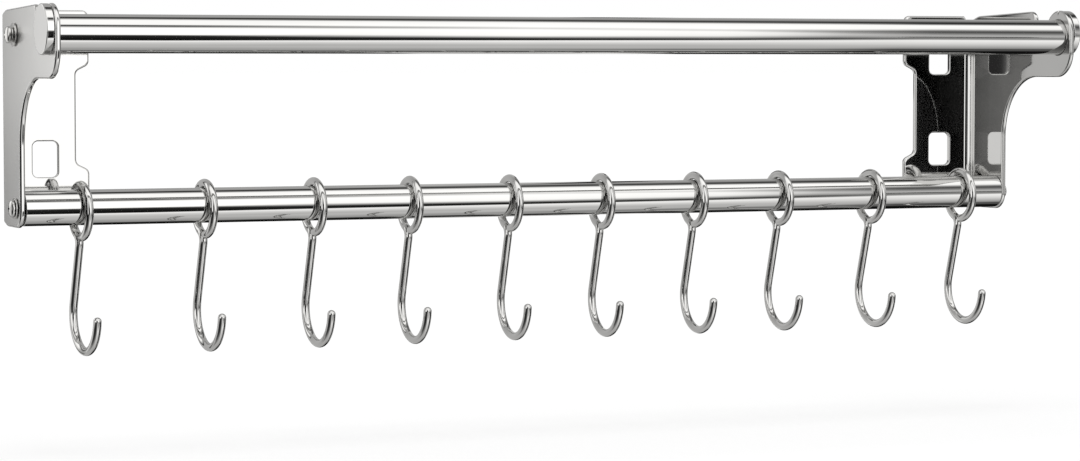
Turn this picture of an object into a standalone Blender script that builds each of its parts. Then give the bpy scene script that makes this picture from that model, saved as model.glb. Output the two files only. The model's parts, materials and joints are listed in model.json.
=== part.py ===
# Wall utensil rack: two folded steel brackets carry a towel rail and a lower rail with ten wire hooks.
# Lengths are in metres. X runs along the rack, the wall is the plane y = 0 and +Z is up.
# The origin is on the wall, midway between the brackets and level with the hook rail's axis.

import math

import bmesh
import bpy
from mathutils import Vector

# Rails
TOWEL_RAIL_LENGTH = 0.600
TOWEL_RAIL_DIAMETER = 0.020
HOOK_RAIL_DIAMETER = 0.019
RAIL_WALL = 0.0010
TOWEL_RAIL_REACH = 0.1013
HOOK_RAIL_REACH = 0.0325
RAIL_RISE = 0.0916
TOWEL_RAIL_INSET = 0.0010

# Fits
SEAT_GAP = 0.0003
BORE_GAP = 0.0002

# Bracket sheet and its fold
SHEET = 0.0030
BEND_INNER_RADIUS = 0.0045
BEND_CUTS = 8
FOLD_DROP = 0.0022
FOLD_DROP_HALF = 0.0022
FOLD_DROP_FROM_CHEEK = 0.0095
FOLD_DROP_FROM_PLATE = 0.0035
CHEEK_DROP_RADIUS = 0.0140
PLATE_DROP_RADIUS = 0.0012

# Cheek, the side of the bracket that stands out from the wall
LEG_PAST_HOOK_RAIL = 0.0085
FOOT_BELOW_HOOK_RAIL = 0.0009
FOOT_CORNER_RADIUS = 0.0095
THROAT_RADIUS = 0.0358
NOSE_BELOW_TOWEL_RAIL = 0.0130
NOSE_CORNER_RADIUS = 0.0155
LOBE_MARGIN = 0.0033
LOBE_RISE = 0.0022
NOTCH_WIDTH = 0.0111
NOTCH_FILLET = 0.0025
CHEEK_RISE_TO_FRONT = 0.0020
CHEEK_CORNER_RADIUS = 0.0060

# Wall plate, the side of the bracket that lies on the wall
PLATE_ABOVE_TOWEL_RAIL = 0.0035
PLATE_WIDTH = 0.0483
WAIST_DEPTH = 0.0073
PLATE_CORNER_RADIUS = 0.0037
SHOULDER_FROM_END = 0.0311
SHOULDER_FALL = 0.0036
SHOULDER_RADIUS = 0.0035
WINDOW_WIDTH = 0.0139
WINDOW_HEIGHT = 0.0194
WINDOW_CORNER_RADIUS = 0.0030
WINDOW_FROM_FOLD = 0.0169
LOWER_WINDOW_FROM_END = 0.0256
UPPER_WINDOW_FROM_END = 0.0156

# End caps of the towel rail
CAP_MARGIN = 0.0031
CAP_THICKNESS = 0.0040
CAP_EDGE_RADIUS = 0.0007
SPIGOT_LENGTH = 0.0090

# Side screws, with their washers, nuts and threaded plugs
THREAD_DIAMETER = 0.0040
THREAD_GAP = 0.0002
HEAD_DIAMETER = 0.0092
HEAD_HEIGHT = 0.0025
HEAD_RIM = 0.0008
LOWER_WASHER_DIAMETER = 0.0110
LOWER_WASHER_THICKNESS = 0.0010
UPPER_WASHER_DIAMETER = 0.0124
UPPER_WASHER_THICKNESS = 0.0010
LOCK_WASHER_DIAMETER = 0.0082
LOCK_WASHER_THICKNESS = 0.0010
LOCK_WASHER_SLIT = 14.0
NUT_ACROSS_FLATS = 0.0070
NUT_THICKNESS = 0.0032
THREAD_PAST_NUT = 0.0012
PLUG_LENGTH = 0.0120
THREAD_IN_PLUG = 0.0080

# Hooks
HOOK_COUNT = 10
HOOK_WIRE_DIAMETER = 0.0045
EYE_SLACK = 0.00225
EYE_OPEN_FROM = -84.0
EYE_LEAVES_AT = 250.0
NECK_RADIUS = 0.0050
SHANK_LEAN = 14.0
SHANK_LENGTH = 0.0326
BOWL_RADIUS = 0.0190
BOWL_ENDS_AT = 358.0
HOOK_END_MARGIN = 0.0280
HOOK_PUSHES = (0.0040, 0.0129, 0.0153, 0.0118, 0.0119, 0.0085, 0.0072, 0.0022, 0.0031, 0.0043)
HOOK_TURNS = (4.0, 3.2, 2.4, 1.2, 0.6, 0.4, 0.6, 1.2, 1.8, 1.2)

# Facets
ROUND_SIDES = 40
SMALL_ROUND_SIDES = 20
CORNER_STEP = 15.0
WIRE_STEP = 18.5
WIRE_SIDES = 8
END_STEPS = 4
SHARP_ANGLE = 35.0

# Worked out from the sizes above
OUTER_HALF = TOWEL_RAIL_LENGTH / 2 + TOWEL_RAIL_INSET
INNER_HALF = OUTER_HALF - SHEET
TOWEL_RAIL_RADIUS = TOWEL_RAIL_DIAMETER / 2
HOOK_RAIL_RADIUS = HOOK_RAIL_DIAMETER / 2
BEND_OUTER_RADIUS = BEND_INNER_RADIUS + SHEET
BEND_LENGTH = (BEND_INNER_RADIUS + SHEET / 2) * math.pi / 2
PLATE_BOTTOM = -HOOK_RAIL_RADIUS - FOOT_BELOW_HOOK_RAIL
PLATE_TOP = RAIL_RISE + TOWEL_RAIL_RADIUS + PLATE_ABOVE_TOWEL_RAIL
LOBE_RADIUS = TOWEL_RAIL_RADIUS + LOBE_MARGIN
LOBE_HEIGHT = RAIL_RISE + LOBE_RISE
NUT_RADIUS = NUT_ACROSS_FLATS / 2 / math.cos(math.pi / 6)
SCREW_HOLE_RADIUS = THREAD_DIAMETER / 2 + THREAD_GAP


def clear_scene():
    for thing in list(bpy.data.objects):
        bpy.data.objects.remove(thing, do_unlink=True)


# Materials

def metal(name, colour, roughness):
    material = bpy.data.materials.new(name)
    material.use_nodes = True
    shader = material.node_tree.nodes["Principled BSDF"]
    shader.inputs["Base Color"].default_value = (*colour, 1.0)
    shader.inputs["Metallic"].default_value = 1.0
    shader.inputs["Roughness"].default_value = roughness
    return material


def satin_sheet_steel():
    return metal("satin_sheet_steel", (0.62, 0.62, 0.61), 0.18)


def polished_tube_steel():
    return metal("polished_tube_steel", (0.72, 0.72, 0.71), 0.06)


def polished_wire_steel():
    return metal("polished_wire_steel", (0.66, 0.66, 0.65), 0.08)


def polished_cap_steel():
    return metal("polished_cap_steel", (0.70, 0.70, 0.69), 0.10)


def fastener_steel():
    return metal("fastener_steel", (0.55, 0.55, 0.54), 0.20)


def threaded_plug_steel():
    return metal("threaded_plug_steel", (0.50, 0.50, 0.49), 0.30)


# Shaping helpers

def finish(name, mesh, material, place=(0.0, 0.0, 0.0), turn=0.0):
    mesh.materials.append(material)
    mesh.shade_smooth()
    mesh.set_sharp_from_angle(angle=math.radians(SHARP_ANGLE))
    item = bpy.data.objects.new(name, mesh)
    item.location = place
    item.rotation_euler = (0.0, 0.0, turn)
    bpy.context.scene.collection.objects.link(item)
    return item


def mesh_from(name, bm):
    bmesh.ops.remove_doubles(bm, verts=bm.verts, dist=1e-7)
    bmesh.ops.recalc_face_normals(bm, faces=bm.faces)
    mesh = bpy.data.meshes.new(name)
    bm.to_mesh(mesh)
    bm.free()
    return mesh


def arc_points(centre, radius, start, end, step):
    """Points on an arc from the start to the end angle, in degrees, both ends included."""
    count = max(2, math.ceil(abs(end - start) / step))
    points = []
    for index in range(count + 1):
        angle = math.radians(start + (end - start) * index / count)
        points.append(Vector((centre[0] + radius * math.cos(angle), centre[1] + radius * math.sin(angle))))
    return points


def filleted(corners):
    """Turn corners of (x, y, radius) into an outline whose corners are arcs."""
    outline = []
    for index, (x, y, radius) in enumerate(corners):
        corner = Vector((x, y))
        before = Vector(corners[index - 1][:2]) - corner
        after = Vector(corners[(index + 1) % len(corners)][:2]) - corner
        if radius == 0.0:
            outline.append(corner)
            continue
        half = before.angle(after) / 2
        centre = corner + (before.normalized() + after.normalized()).normalized() * (radius / math.sin(half))
        first = corner + before.normalized() * (radius / math.tan(half))
        last = corner + after.normalized() * (radius / math.tan(half))
        start = math.degrees(math.atan2(first.y - centre.y, first.x - centre.x))
        sweep = math.degrees(math.atan2(last.y - centre.y, last.x - centre.x)) - start
        sweep = (sweep + 180.0) % 360.0 - 180.0
        outline += arc_points(centre, radius, start, start + sweep, CORNER_STEP)
    return outline


def circle_points(centre, radius, sides):
    return arc_points(centre, radius, 0.0, 360.0, 360.0 / sides)[:-1]


def turned(profile, sides, sweep=360.0):
    """Spin a profile of (along, radius) points about the X axis, closed if it starts off the axis."""
    bm = bmesh.new()
    rim = [bm.verts.new((along, 0.0, radius)) for along, radius in profile]
    edges = [bm.edges.new(pair) for pair in zip(rim, rim[1:])]
    if profile[0][1] > 0.0:
        edges.append(bm.edges.new((rim[-1], rim[0])))
    whole = sweep == 360.0
    spun = bmesh.ops.spin(bm, geom=rim + edges, cent=(0, 0, 0), axis=(1, 0, 0), angle=math.radians(sweep),
                          steps=round(sides * sweep / 360.0), use_merge=whole)
    if not whole:
        last = [item for item in spun["geom_last"] if isinstance(item, bmesh.types.BMEdge)]
        bmesh.ops.contextual_create(bm, geom=edges)
        bmesh.ops.contextual_create(bm, geom=last)
    return bm


def tube_mesh(name, length, radius):
    bore = radius - RAIL_WALL
    half = length / 2
    bm = turned([(-half, radius), (half, radius), (half, bore), (-half, bore)], ROUND_SIDES)
    return mesh_from(name, bm)


# Brackets

def cheek_corners():
    """The cheek's corners, from the foot forwards and up to the top edge, as (reach, height, radius)."""
    leg_front = HOOK_RAIL_REACH + LEG_PAST_HOOK_RAIL
    nose_bottom = RAIL_RISE - TOWEL_RAIL_RADIUS - NOSE_BELOW_TOWEL_RAIL
    nose_front = TOWEL_RAIL_REACH + LOBE_RADIUS
    lobe_back = TOWEL_RAIL_REACH - LOBE_RADIUS
    lobe_top = LOBE_HEIGHT + LOBE_RADIUS
    notch_bottom = LOBE_HEIGHT - NOTCH_FILLET
    notch_back = lobe_back - NOTCH_WIDTH
    return [
        (leg_front, PLATE_BOTTOM, FOOT_CORNER_RADIUS),
        (leg_front, nose_bottom, THROAT_RADIUS),
        (nose_front, nose_bottom, NOSE_CORNER_RADIUS),
        (nose_front, lobe_top, LOBE_RADIUS),
        (lobe_back, lobe_top, LOBE_RADIUS),
        (lobe_back, notch_bottom, NOTCH_FILLET),
        (notch_back, notch_bottom, NOTCH_FILLET),
        (notch_back, PLATE_TOP + CHEEK_RISE_TO_FRONT, CHEEK_CORNER_RADIUS),
    ]


def plate_corners():
    """The wall plate's corners, from the top edge down to the foot, as (across, height, radius)."""
    waist = PLATE_WIDTH - WAIST_DEPTH
    upper = PLATE_TOP - SHOULDER_FROM_END
    lower = PLATE_BOTTOM + SHOULDER_FROM_END
    fall = SHOULDER_FALL / 2
    return [
        (PLATE_WIDTH, PLATE_TOP, PLATE_CORNER_RADIUS),
        (PLATE_WIDTH, upper + fall, SHOULDER_RADIUS),
        (waist, upper - fall, SHOULDER_RADIUS),
        (waist, lower + fall, SHOULDER_RADIUS),
        (PLATE_WIDTH, lower - fall, SHOULDER_RADIUS),
        (PLATE_WIDTH, PLATE_BOTTOM, PLATE_CORNER_RADIUS),
    ]


def along_cheek(reach):
    return reach - BEND_OUTER_RADIUS


def along_plate(across):
    return -BEND_LENGTH - (across - BEND_OUTER_RADIUS)


def fold_corners(height, drop):
    """The sheet's edge dips a little where it crosses the fold, from the cheek's side to the plate's side."""
    fold = -BEND_LENGTH / 2
    return [
        (fold + FOLD_DROP_FROM_CHEEK, height, CHEEK_DROP_RADIUS),
        (fold + FOLD_DROP_HALF, height - drop, PLATE_DROP_RADIUS),
        (fold - FOLD_DROP_HALF, height - drop, PLATE_DROP_RADIUS),
        (fold - FOLD_DROP_FROM_PLATE, height, PLATE_DROP_RADIUS),
    ]


def blank_outline():
    """The flat blank before folding: cheek on the positive side, wall plate on the negative side."""
    cheek = [(along_cheek(reach), height, radius) for reach, height, radius in cheek_corners()]
    plate = [(along_plate(across), height, radius) for across, height, radius in plate_corners()]
    top = fold_corners(PLATE_TOP, FOLD_DROP)
    foot = fold_corners(PLATE_BOTTOM, -FOLD_DROP)
    return filleted(cheek + top + plate + foot[::-1])


def window_outline(bottom):
    near = along_plate(WINDOW_FROM_FOLD)
    far = along_plate(WINDOW_FROM_FOLD + WINDOW_WIDTH)
    top = bottom + WINDOW_HEIGHT
    radius = WINDOW_CORNER_RADIUS
    return filleted([(near, bottom, radius), (near, top, radius), (far, top, radius), (far, bottom, radius)])


def blank_openings():
    towel_hole = (along_cheek(TOWEL_RAIL_REACH), RAIL_RISE)
    lower_hole = (along_cheek(HOOK_RAIL_REACH), 0.0)
    upper_hole = (along_cheek(HOOK_RAIL_REACH), RAIL_RISE)
    return [
        window_outline(PLATE_BOTTOM + LOWER_WINDOW_FROM_END),
        window_outline(PLATE_TOP - UPPER_WINDOW_FROM_END - WINDOW_HEIGHT),
        circle_points(towel_hole, TOWEL_RAIL_RADIUS + BORE_GAP, ROUND_SIDES),
        circle_points(lower_hole, SCREW_HOLE_RADIUS, SMALL_ROUND_SIDES),
        circle_points(upper_hole, SCREW_HOLE_RADIUS, SMALL_ROUND_SIDES),
    ]


def add_loop(bm, points):
    verts = [bm.verts.new((point[0], 0.0, point[1])) for point in points]
    return [bm.edges.new((verts[index - 1], vert)) for index, vert in enumerate(verts)]


def flat_blank():
    bm = bmesh.new()
    edges = add_loop(bm, blank_outline())
    for opening in blank_openings():
        edges += add_loop(bm, opening)
    bmesh.ops.triangle_fill(bm, use_beauty=True, use_dissolve=False, edges=edges, normal=(0, -1, 0))
    grown = bmesh.ops.extrude_face_region(bm, geom=list(bm.faces), use_keep_orig=True)
    inner = [item for item in grown["geom"] if isinstance(item, bmesh.types.BMVert)]
    bmesh.ops.translate(bm, verts=inner, vec=(0.0, SHEET, 0.0))
    for cut in range(BEND_CUTS + 1):
        place = (-BEND_LENGTH * cut / BEND_CUTS, 0.0, 0.0)
        everything = list(bm.verts) + list(bm.edges) + list(bm.faces)
        bmesh.ops.bisect_plane(bm, geom=everything, dist=1e-7, plane_co=place, plane_no=(1, 0, 0))
    return bm


def folded(point):
    """Where a point of the flat blank lies once the sheet is folded: (distance from outer face, reach)."""
    along = point.x
    depth = point.y
    radius = BEND_OUTER_RADIUS - depth
    if along >= 0.0:
        return depth, along + BEND_OUTER_RADIUS
    if along <= -BEND_LENGTH:
        return BEND_OUTER_RADIUS - along - BEND_LENGTH, depth
    angle = -along / BEND_LENGTH * math.pi / 2
    return BEND_OUTER_RADIUS - radius * math.cos(angle), BEND_OUTER_RADIUS - radius * math.sin(angle)


def bracket(name, side, material):
    """Side is -1 for the left bracket and 1 for the right one."""
    bm = flat_blank()
    for vert in bm.verts:
        across, reach = folded(vert.co)
        vert.co = (side * (OUTER_HALF - across), -reach, vert.co.z)
    return finish(name, mesh_from(name, bm), material)


# Rails, plugs and caps

def towel_rail(material):
    mesh = tube_mesh("towel_rail", TOWEL_RAIL_LENGTH, TOWEL_RAIL_RADIUS)
    return finish("towel_rail", mesh, material, (0.0, -TOWEL_RAIL_REACH, RAIL_RISE))


def hook_rail(material):
    mesh = tube_mesh("hook_rail", 2 * (INNER_HALF - SEAT_GAP), HOOK_RAIL_RADIUS)
    return finish("hook_rail", mesh, material, (0.0, -HOOK_RAIL_REACH, 0.0))


def side_turn(side):
    return 0.0 if side < 0 else math.pi


def rail_plug(name, side, material):
    """Threaded plug in the end of the hook rail, which the lower screw pulls against the cheek."""
    outer = HOOK_RAIL_RADIUS - RAIL_WALL - BORE_GAP
    bore = THREAD_DIAMETER / 2 + THREAD_GAP
    bm = turned([(0.0, outer), (PLUG_LENGTH, outer), (PLUG_LENGTH, bore), (0.0, bore)], SMALL_ROUND_SIDES)
    place = (side * (INNER_HALF - SEAT_GAP), -HOOK_RAIL_REACH, 0.0)
    return finish(name, mesh_from(name, bm), material, place, side_turn(side))


def cap_disc_profile(radius):
    """Half section of the cap's disc, from its axis at the seat round the rim to the axis at the front."""
    front = -SEAT_GAP - CAP_THICKNESS
    edge = CAP_EDGE_RADIUS
    rounded = arc_points((front + edge, radius - edge), edge, 90.0, 180.0, 30.0)
    return [(-SEAT_GAP, 0.0), (-SEAT_GAP, radius)] + [tuple(point) for point in rounded] + [(front, 0.0)]


def end_cap(name, side, material):
    """Cover over the towel rail's end, with a spigot that plugs the rail's bore below the cover's centre."""
    disc = turned(cap_disc_profile(TOWEL_RAIL_RADIUS + CAP_MARGIN), ROUND_SIDES)
    spigot_radius = TOWEL_RAIL_RADIUS - RAIL_WALL - BORE_GAP
    overlap = -SEAT_GAP - CAP_THICKNESS / 2
    spigot_end = TOWEL_RAIL_INSET + SPIGOT_LENGTH
    profile = [(overlap, 0.0), (overlap, spigot_radius), (spigot_end, spigot_radius), (spigot_end, 0.0)]
    spigot = turned(profile, ROUND_SIDES)
    bmesh.ops.translate(spigot, verts=spigot.verts, vec=(0.0, 0.0, -LOBE_RISE))
    place = (side * OUTER_HALF, -TOWEL_RAIL_REACH, LOBE_HEIGHT)
    cap = finish(name, mesh_from(name, disc), material, place, side_turn(side))
    plug = mesh_from(name + "_spigot", spigot)
    tool = finish(name + "_spigot_tool", plug, material, place, side_turn(side))
    tool.hide_render = True
    tool.display_type = "WIRE"
    union = cap.modifiers.new("spigot", "BOOLEAN")
    union.operation = "UNION"
    union.solver = "EXACT"
    union.object = tool
    return cap


# Side screws and what they clamp

def ring_mesh(name, outer, thickness, sweep=360.0):
    hole = THREAD_DIAMETER / 2 + THREAD_GAP
    profile = [(-thickness, hole), (-thickness, outer), (0.0, outer), (0.0, hole)]
    return mesh_from(name, turned(profile, SMALL_ROUND_SIDES, sweep))


def screw_mesh(name, shank_length):
    """Round-headed machine screw whose head seats at x = 0 and whose shank runs along +X."""
    head = HEAD_DIAMETER / 2
    shank = THREAD_DIAMETER / 2
    dome = HEAD_HEIGHT - HEAD_RIM
    profile = [(shank_length, 0.0), (shank_length, shank), (0.0, shank), (0.0, head)]
    for step in range(END_STEPS):
        angle = math.pi / 2 * step / END_STEPS
        profile.append((-HEAD_RIM - dome * math.sin(angle), head * math.cos(angle)))
    profile.append((-HEAD_HEIGHT, 0.0))
    return mesh_from(name, turned(profile, SMALL_ROUND_SIDES))


def lower_fixing(side_name, side, material):
    """The screw through the cheek into the hook rail's plug."""
    washer_seat = OUTER_HALF + SEAT_GAP
    head_seat = washer_seat + LOWER_WASHER_THICKNESS + SEAT_GAP
    name = side_name + "_lower_washer"
    washer = ring_mesh(name, LOWER_WASHER_DIAMETER / 2, LOWER_WASHER_THICKNESS)
    finish(name, washer, material, (side * washer_seat, -HOOK_RAIL_REACH, 0.0), side_turn(side))
    name = side_name + "_lower_screw"
    shank = head_seat - INNER_HALF + SEAT_GAP + THREAD_IN_PLUG
    screw = screw_mesh(name, shank)
    finish(name, screw, material, (side * head_seat, -HOOK_RAIL_REACH, 0.0), side_turn(side))


def nut_mesh(name):
    bm = bmesh.new()
    rim = circle_points((0.0, 0.0), NUT_RADIUS, 6)
    hole = circle_points((0.0, 0.0), THREAD_DIAMETER / 2 + THREAD_GAP, SMALL_ROUND_SIDES)
    edges = add_loop(bm, rim) + add_loop(bm, hole)
    bmesh.ops.triangle_fill(bm, use_beauty=True, use_dissolve=False, edges=edges, normal=(0, -1, 0))
    grown = bmesh.ops.extrude_face_region(bm, geom=list(bm.faces), use_keep_orig=True)
    far = [item for item in grown["geom"] if isinstance(item, bmesh.types.BMVert)]
    bmesh.ops.translate(bm, verts=far, vec=(0.0, NUT_THICKNESS, 0.0))
    for vert in bm.verts:
        vert.co = (vert.co.y, vert.co.x, vert.co.z)
    return mesh_from(name, bm)


def upper_fixing(side_name, side, material):
    """The screw near the wall, with a plain and a split washer outside the cheek and a nut inside it."""
    washer_seat = OUTER_HALF + SEAT_GAP
    lock_seat = washer_seat + UPPER_WASHER_THICKNESS + SEAT_GAP
    head_seat = lock_seat + LOCK_WASHER_THICKNESS + SEAT_GAP
    nut_seat = INNER_HALF - SEAT_GAP
    name = side_name + "_upper_washer"
    washer = ring_mesh(name, UPPER_WASHER_DIAMETER / 2, UPPER_WASHER_THICKNESS)
    finish(name, washer, material, (side * washer_seat, -HOOK_RAIL_REACH, RAIL_RISE), side_turn(side))
    name = side_name + "_lock_washer"
    lock = ring_mesh(name, LOCK_WASHER_DIAMETER / 2, LOCK_WASHER_THICKNESS, 360.0 - LOCK_WASHER_SLIT)
    finish(name, lock, material, (side * lock_seat, -HOOK_RAIL_REACH, RAIL_RISE), side_turn(side))
    name = side_name + "_upper_nut"
    finish(name, nut_mesh(name), material, (side * nut_seat, -HOOK_RAIL_REACH, RAIL_RISE), side_turn(side))
    name = side_name + "_upper_screw"
    shank = head_seat - nut_seat + NUT_THICKNESS + THREAD_PAST_NUT
    screw = screw_mesh(name, shank)
    finish(name, screw, material, (side * head_seat, -HOOK_RAIL_REACH, RAIL_RISE), side_turn(side))


# Hooks

def eye_radius():
    """Radius of the eye at the middle of the wire."""
    return HOOK_RAIL_RADIUS + EYE_SLACK + HOOK_WIRE_DIAMETER / 2


def wire_route():
    """The middle line of one hook as (forward, up) points about the eye's centre."""
    eye = eye_radius()
    leaves = math.radians(EYE_LEAVES_AT)
    lean = math.radians(SHANK_LEAN)
    neck_centre = Vector((math.cos(leaves), math.sin(leaves))) * (eye + NECK_RADIUS)
    route = arc_points((0.0, 0.0), eye, EYE_OPEN_FROM, EYE_LEAVES_AT, WIRE_STEP)
    route += arc_points(neck_centre, NECK_RADIUS, EYE_LEAVES_AT - 180.0, -SHANK_LEAN, WIRE_STEP)[1:]
    shank_end = route[-1] + Vector((-math.sin(lean), -math.cos(lean))) * SHANK_LENGTH
    bowl_centre = shank_end + Vector((math.cos(lean), -math.sin(lean))) * BOWL_RADIUS
    return route + arc_points(bowl_centre, BOWL_RADIUS, 180.0 - SHANK_LEAN, BOWL_ENDS_AT, WIRE_STEP)


def balance(route):
    """Turn the hook about its eye until its middle of mass hangs straight below the rail."""
    weight = 0.0
    moment = Vector((0.0, 0.0))
    for start, end in zip(route, route[1:]):
        length = (end - start).length
        weight += length
        moment += (start + end) / 2 * length
    middle = moment / weight
    angle = math.atan2(middle.x, -middle.y)
    cosine = math.cos(-angle)
    sine = math.sin(-angle)
    return [Vector((point.x * cosine - point.y * sine, point.x * sine + point.y * cosine)) for point in route]


def domed(route):
    """Carry the wire a little past both its ends in narrowing steps, so that its ends are round."""
    radius = HOOK_WIRE_DIAMETER / 2
    first = (route[0] - route[1]).normalized()
    last = (route[-1] - route[-2]).normalized()
    points = [(point, 1.0) for point in route]
    for step in range(1, END_STEPS):
        angle = math.pi / 2 * step / END_STEPS
        reach = radius * math.sin(angle)
        points.insert(0, (route[0] + first * reach, math.cos(angle)))
        points.append((route[-1] + last * reach, math.cos(angle)))
    return points


def hook_curve():
    """One bent wire, drawn about the rail's axis: the top of its eye rests on the rail."""
    drop = EYE_SLACK - SEAT_GAP
    points = domed(balance(wire_route()))
    curve = bpy.data.curves.new("hook_wire", "CURVE")
    curve.dimensions = "3D"
    curve.bevel_depth = HOOK_WIRE_DIAMETER / 2
    curve.bevel_resolution = WIRE_SIDES // 4 - 1
    curve.use_fill_caps = True
    spline = curve.splines.new("POLY")
    spline.points.add(len(points) - 1)
    for item, (point, width) in zip(spline.points, points):
        item.co = (0.0, -point.x, point.y - drop, 1.0)
        item.radius = width
    spline.use_smooth = True
    return curve


def hook_places():
    """Even places along the hook rail, each hook then pushed a little to where it hangs."""
    first = -INNER_HALF + HOOK_END_MARGIN
    pitch = -2 * first / (HOOK_COUNT - 1)
    return [first + pitch * index + HOOK_PUSHES[index % len(HOOK_PUSHES)] for index in range(HOOK_COUNT)]


def hooks(material):
    curve = hook_curve()
    curve.materials.append(material)
    for index, place in enumerate(hook_places()):
        pivot = bpy.data.objects.new("hook_pivot_%02d" % (index + 1), None)
        pivot.location = (place, -HOOK_RAIL_REACH, 0.0)
        bpy.context.scene.collection.objects.link(pivot)
        hook = bpy.data.objects.new("hook_%02d" % (index + 1), curve)
        hook.rotation_euler.z = math.radians(HOOK_TURNS[index % len(HOOK_TURNS)])
        hook.parent = pivot
        bpy.context.scene.collection.objects.link(hook)


def build():
    clear_scene()
    sheet = satin_sheet_steel()
    tube = polished_tube_steel()
    cap = polished_cap_steel()
    fastener = fastener_steel()
    plug = threaded_plug_steel()
    towel_rail(tube)
    hook_rail(tube)
    for side_name, side in (("left", -1), ("right", 1)):
        bracket(side_name + "_bracket", side, sheet)
        end_cap(side_name + "_end_cap", side, cap)
        rail_plug(side_name + "_rail_plug", side, plug)
        lower_fixing(side_name, side, fastener)
        upper_fixing(side_name, side, fastener)
    hooks(polished_wire_steel())


build()
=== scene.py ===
# Wall utensil rack: polished steel brackets, rails, caps, fasteners and bent wire hooks in a white studio.
# Lengths are in metres and angles in degrees. X runs along the rack, the wall is y = 0 and +Z is up.

import json
import math

import bmesh
import bpy
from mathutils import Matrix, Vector


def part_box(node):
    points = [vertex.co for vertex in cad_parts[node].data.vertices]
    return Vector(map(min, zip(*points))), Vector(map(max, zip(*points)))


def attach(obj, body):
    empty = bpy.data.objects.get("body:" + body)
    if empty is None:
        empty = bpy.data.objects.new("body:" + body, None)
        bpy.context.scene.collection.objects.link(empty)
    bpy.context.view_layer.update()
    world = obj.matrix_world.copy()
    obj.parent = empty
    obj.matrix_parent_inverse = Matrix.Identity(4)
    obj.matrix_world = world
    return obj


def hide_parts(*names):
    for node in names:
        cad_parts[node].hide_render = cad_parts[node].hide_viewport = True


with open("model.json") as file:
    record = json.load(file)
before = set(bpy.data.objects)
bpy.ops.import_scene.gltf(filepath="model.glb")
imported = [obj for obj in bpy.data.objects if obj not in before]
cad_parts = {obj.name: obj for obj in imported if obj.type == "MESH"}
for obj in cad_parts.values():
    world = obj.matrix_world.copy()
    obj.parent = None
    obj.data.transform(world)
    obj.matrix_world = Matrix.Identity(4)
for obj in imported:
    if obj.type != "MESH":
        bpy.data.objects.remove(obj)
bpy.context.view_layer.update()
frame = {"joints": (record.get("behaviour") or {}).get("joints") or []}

# The photograph's camera, solved from the brackets' and rails' outlines
CAMERA_PLACE = (-0.7277, -1.7110, 0.0762)
CAMERA_PITCH = -2.94
CAMERA_YAW = -23.45
CAMERA_LENS = 108.08
CAMERA_CLIP_START = 0.05
SENSOR_WIDTH = 36.0

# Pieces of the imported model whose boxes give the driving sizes
TOWEL_LOW, TOWEL_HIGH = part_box("towel_rail")
HOOK_LOW, HOOK_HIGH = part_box("hook_rail")
BRACKET_LOW, BRACKET_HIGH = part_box("right_bracket")
CAP_LOW, CAP_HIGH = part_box("right_end_cap")

# Fits, facets and edges
SEAT_GAP = 0.0003
BORE_GAP = 0.0002
MERGE_DISTANCE = 1e-7
FINE_STEP = 5.0
RIM_STEP = 15.0
SMALL_EDGE_STEP = 30.0
SMALL_SIDES = 48
LEAST_LEAN = 0.3
FLAT_FACE_WEIGHT = 90

# Rails
TOWEL_RADIUS = (TOWEL_HIGH.z - TOWEL_LOW.z) / 2
TOWEL_REACH = -(TOWEL_LOW.y + TOWEL_HIGH.y) / 2
TOWEL_RISE = (TOWEL_LOW.z + TOWEL_HIGH.z) / 2
HOOK_RAIL_RADIUS = (HOOK_HIGH.z - HOOK_LOW.z) / 2
HOOK_RAIL_REACH = -(HOOK_LOW.y + HOOK_HIGH.y) / 2
RAIL_WALL = 0.0010
RAIL_EDGE = 0.00025
RAIL_SIDES = 160

# Bracket sheet and its fold
SHEET = 0.0030
OUTER_HALF = BRACKET_HIGH.x
INNER_HALF = OUTER_HALF - SHEET
BEND_INNER_RADIUS = 0.0045
BEND_OUTER_RADIUS = BEND_INNER_RADIUS + SHEET
BEND_LENGTH = (BEND_INNER_RADIUS + SHEET / 2) * math.pi / 2
BEND_CUTS = 22
FOLD_DROP = 0.0022
FOLD_DROP_HALF = 0.0022
FOLD_DROP_FROM_CHEEK = 0.0095
FOLD_DROP_FROM_PLATE = 0.0035
CHEEK_DROP_RADIUS = 0.0140
PLATE_DROP_RADIUS = 0.0012
SHEET_EDGE = 0.0011
OPENING_EDGE = 0.0007
SHEET_EDGE_STEPS = 6
SATIN_FADE = 0.0004
SATIN_ROUGHNESS = 0.25

# Wall plates
PLATE_ABOVE_TOWEL_RAIL = 0.0035
PLATE_TOP = TOWEL_RISE + TOWEL_RADIUS + PLATE_ABOVE_TOWEL_RAIL
PLATE_BOTTOM = BRACKET_LOW.z
PLATE_WIDTH = OUTER_HALF - BRACKET_LOW.x
PLATE_CORNER = 0.0037
WAIST_DEPTH = 0.0073
SHOULDER_FROM_END = 0.0311
SHOULDER_FALL = 0.0036
SHOULDER_CORNER = 0.0035
WINDOW_WIDTH = 0.0139
WINDOW_HEIGHT = 0.0194
WINDOW_CORNER = 0.0030
WINDOW_FROM_FOLD = 0.0169
LOWER_WINDOW_FROM_END = 0.0256
UPPER_WINDOW_FROM_END = 0.0156

# Cheeks
CHEEK_RISE_TO_FRONT = 0.0020
CHEEK_CORNER = 0.0060
LEG_PAST_HOOK_RAIL = 0.0085
LEG_FRONT = HOOK_RAIL_REACH + LEG_PAST_HOOK_RAIL
FOOT_CORNER = 0.0095
THROAT_CORNER = 0.0358
NOSE_BELOW_TOWEL_RAIL = 0.0130
NOSE_BOTTOM = TOWEL_RISE - TOWEL_RADIUS - NOSE_BELOW_TOWEL_RAIL
NOSE_CORNER = 0.0155
NOSE_FRONT = -BRACKET_LOW.y
LOBE_TOP = BRACKET_HIGH.z
LOBE_RADIUS = NOSE_FRONT - TOWEL_REACH
NOTCH_WIDTH = 0.0111
NOTCH_FILLET = 0.0025

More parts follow.
